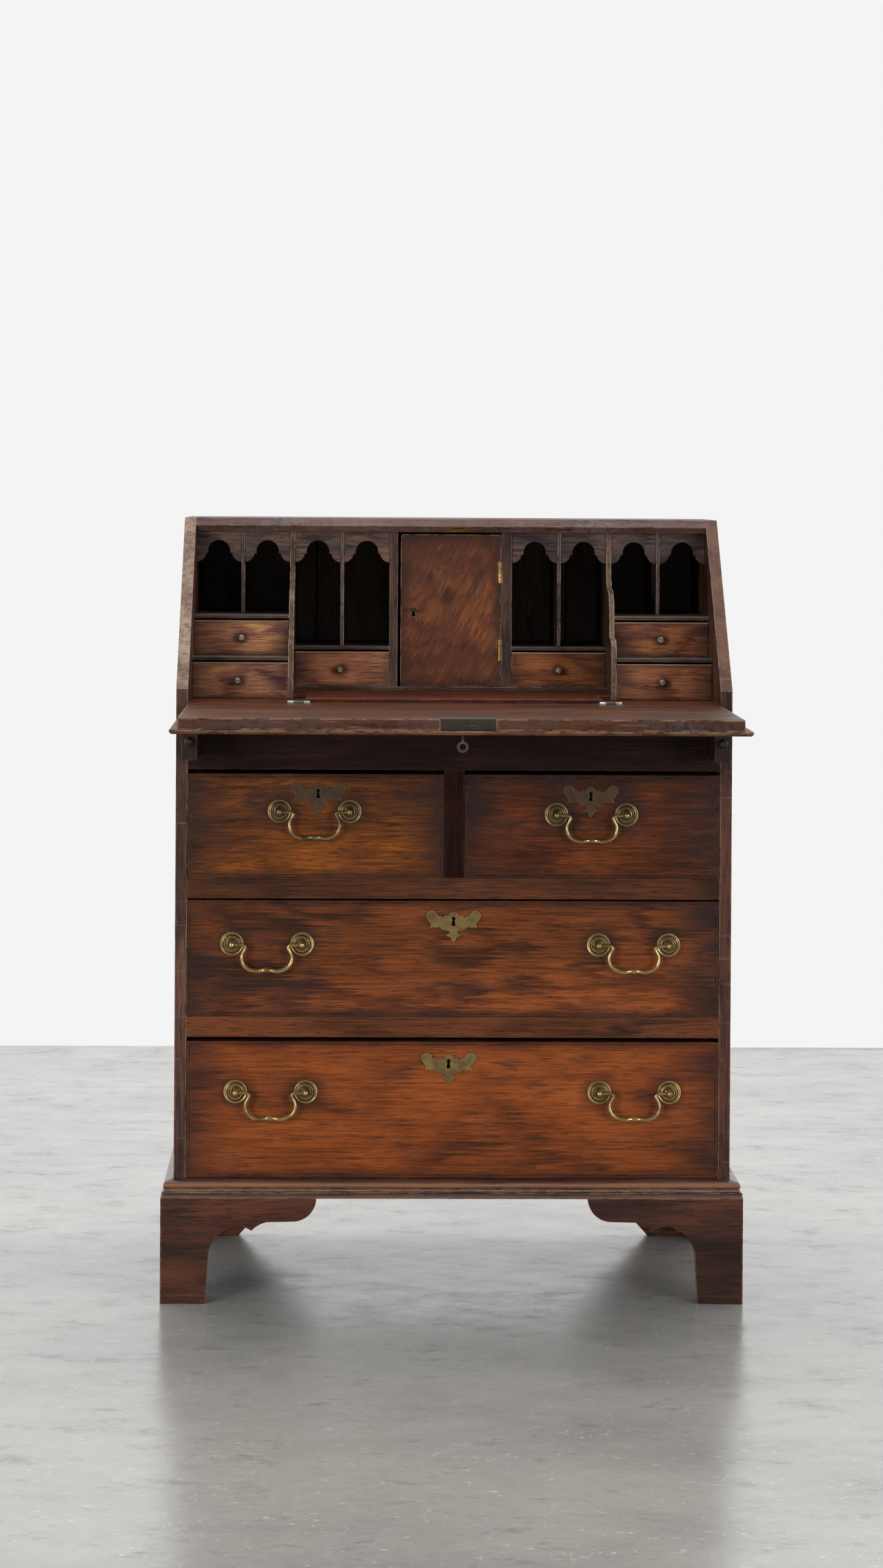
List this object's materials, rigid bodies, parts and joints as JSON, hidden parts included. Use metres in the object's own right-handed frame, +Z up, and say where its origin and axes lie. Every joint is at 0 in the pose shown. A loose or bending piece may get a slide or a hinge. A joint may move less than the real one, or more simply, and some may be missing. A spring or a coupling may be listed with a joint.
{
  "type": "slope front bureau",
  "caption": "Writing bureau with a sloping fall on pull-out lopers, a stepped fitted interior, short and long drawers, and shaped bracket feet.",
  "frame": {"origin": "centre of the footprint of the bureau as it stands open, on the floor", "axes": "+Z up, the front faces -Y, +X to the right as seen from the front"},
  "size_m": [0.743, 0.7698, 0.999],
  "materials": {
    "oak": "waxed oak, darkened",
    "polished_oak": "polished oak",
    "secondary_wood": "bare, aged",
    "brass": "antique, dull",
    "bright_metal": "worn bright"
  },
  "bodies": {
    "carcass": {"side_left": "oak", "side_right": "oak", "top_board": "oak", "fall_strike_plate": "brass", "bottom_boards": "secondary_wood", "dust_boards": "secondary_wood", "drawer_rails": "oak", "drawer_divider": "oak", "frieze_board": "oak", "loper_guides": "secondary_wood", "well_guides": "oak", "back_boards": "secondary_wood", "drawer_stops": "secondary_wood", "writing_board": "polished_oak", "stepped_partitions": "oak", "pigeonhole_dividers": "oak", "interior_shelves": "oak", "pigeonhole_valances": "oak", "cupboard_stiles": "oak", "fixed_hinge_leaves": "bright_metal", "base_moulding": "oak", "front_feet": "oak", "rear_feet": "oak"},
    "fall": {"fall_board": "polished_oak", "fall_lock": "brass", "fall_bolt": "bright_metal", "fall_hinge_leaves": "bright_metal"},
    "fall_key": {"fall_key": "bright_metal"},
    "loper_left": {"loper_left": "oak"},
    "loper_right": {"loper_right": "oak"},
    "well_slide": {"well_slide": "polished_oak"},
    "door": {"cupboard_door": "oak", "door_lock": "brass", "door_bolt": "bright_metal", "door_hinge_leaves": "bright_metal"},
    "door_key": {"door_key": "bright_metal"},
    "lower_outer_drawer_left": {"lower_outer_drawer_left": "oak"},
    "lower_outer_drawer_right": {"lower_outer_drawer_right": "oak"},
    "upper_outer_drawer_left": {"upper_outer_drawer_left": "oak"},
    "upper_outer_drawer_right": {"upper_outer_drawer_right": "oak"},
    "inner_drawer_left": {"inner_drawer_left": "oak"},
    "inner_drawer_right": {"inner_drawer_right": "oak"},
    "top_left_drawer": {"top_left_drawer_front": "oak", "top_left_drawer_box": "secondary_wood", "top_left_drawer_brasses": "brass"},
    "top_right_drawer": {"top_right_drawer_front": "oak", "top_right_drawer_box": "secondary_wood", "top_right_drawer_brasses": "brass"},
    "middle_drawer": {"middle_drawer_front": "oak", "middle_drawer_box": "secondary_wood", "middle_drawer_brasses": "brass"},
    "bottom_drawer": {"bottom_drawer_front": "oak", "bottom_drawer_box": "secondary_wood", "bottom_drawer_brasses": "brass"},
    "top_left_drawer_bail": {"top_left_drawer_bail": "brass"},
    "top_right_drawer_bail": {"top_right_drawer_bail": "brass"},
    "middle_drawer_bail_left": {"middle_drawer_bail_left": "brass"},
    "middle_drawer_bail_right": {"middle_drawer_bail_right": "brass"},
    "bottom_drawer_bail_left": {"bottom_drawer_bail_left": "brass"},
    "bottom_drawer_bail_right": {"bottom_drawer_bail_right": "brass"}
  },
  "joints": [
    {"name": "fall_hinge", "type": "hinge", "parent": "carcass", "child": "fall", "pos_m": [0, -0.06113, 0.76401], "axis": [1, 0, 0], "range_deg": [-136.84, 0]},
    {"name": "fall_key_turn", "type": "hinge", "parent": "fall", "child": "fall_key", "pos_m": [0.002, -0.34917, 0.74501], "axis": [0, 0, -1], "range_deg": [0, 90]},
    {"name": "loper_left_slide", "type": "slide", "parent": "carcass", "child": "loper_left", "axis": [0, -1, 0], "range_m": [-0.085, 0.165]},
    {"name": "loper_right_slide", "type": "slide", "parent": "carcass", "child": "loper_right", "axis": [0, -1, 0], "range_m": [-0.085, 0.165]},
    {"name": "well_slide_slide", "type": "slide", "parent": "carcass", "child": "well_slide", "axis": [0, 1, 0], "range_m": [0, 0.15]},
    {"name": "door_hinge", "type": "hinge", "parent": "carcass", "child": "door", "pos_m": [0.06535, 0.17687, 0.77401], "axis": [0, 0, 1], "range_deg": [0, 90]},
    {"name": "door_key_turn", "type": "hinge", "parent": "door", "child": "door_key", "pos_m": [-0.0494, 0.17687, 0.87701], "axis": [0, -1, 0], "range_deg": [0, 90]},
    {"name": "lower_outer_drawer_left_slide", "type": "slide", "parent": "carcass", "child": "lower_outer_drawer_left", "axis": [0, -1, 0], "range_m": [0, 0.2]},
    {"name": "lower_outer_drawer_right_slide", "type": "slide", "parent": "carcass", "child": "lower_outer_drawer_right", "axis": [0, -1, 0], "range_m": [0, 0.2]},
    {"name": "upper_outer_drawer_left_slide", "type": "slide", "parent": "carcass", "child": "upper_outer_drawer_left", "axis": [0, -1, 0], "range_m": [0, 0.17]},
    {"name": "upper_outer_drawer_right_slide", "type": "slide", "parent": "carcass", "child": "upper_outer_drawer_right", "axis": [0, -1, 0], "range_m": [0, 0.17]},
    {"name": "inner_drawer_left_slide", "type": "slide", "parent": "carcass", "child": "inner_drawer_left", "axis": [0, -1, 0], "range_m": [0, 0.13]},
    {"name": "inner_drawer_right_slide", "type": "slide", "parent": "carcass", "child": "inner_drawer_right", "axis": [0, -1, 0], "range_m": [0, 0.13]},
    {"name": "top_left_drawer_slide", "type": "slide", "parent": "carcass", "child": "top_left_drawer", "axis": [0, -1, 0], "range_m": [0, 0.3]},
    {"name": "top_right_drawer_slide", "type": "slide", "parent": "carcass", "child": "top_right_drawer", "axis": [0, -1, 0], "range_m": [0, 0.3]},
    {"name": "middle_drawer_slide", "type": "slide", "parent": "carcass", "child": "middle_drawer", "axis": [0, -1, 0], "range_m": [0, 0.3]},
    {"name": "bottom_drawer_slide", "type": "slide", "parent": "carcass", "child": "bottom_drawer", "axis": [0, -1, 0], "range_m": [0, 0.3]},
    {"name": "top_left_drawer_bail_swing", "type": "hinge", "parent": "top_left_drawer", "child": "top_left_drawer_bail", "pos_m": [-0.17825, -0.07263, 0.62655], "axis": [-1, 0, 0], "range_deg": [-12, 95]},
    {"name": "top_right_drawer_bail_swing", "type": "hinge", "parent": "top_right_drawer", "child": "top_right_drawer_bail", "pos_m": [0.17565, -0.07263, 0.62356], "axis": [-1, 0, 0], "range_deg": [-12, 95]},
    {"name": "middle_drawer_bail_left_swing", "type": "hinge", "parent": "middle_drawer", "child": "middle_drawer_bail_left", "pos_m": [-0.2381, -0.07263, 0.4569], "axis": [-1, 0, 0], "range_deg": [-12, 95]},
    {"name": "middle_drawer_bail_right_swing", "type": "hinge", "parent": "middle_drawer", "child": "middle_drawer_bail_right", "pos_m": [0.2305, -0.07263, 0.4569], "axis": [-1, 0, 0], "range_deg": [-12, 95]},
    {"name": "bottom_drawer_bail_left_swing", "type": "hinge", "parent": "bottom_drawer", "child": "bottom_drawer_bail_left", "pos_m": [-0.2325, -0.07263, 0.26799], "axis": [-1, 0, 0], "range_deg": [-12, 95]},
    {"name": "bottom_drawer_bail_right_swing", "type": "hinge", "parent": "bottom_drawer", "child": "bottom_drawer_bail_right", "pos_m": [0.2325, -0.07263, 0.26799], "axis": [-1, 0, 0], "range_deg": [-12, 95]}
  ]
}
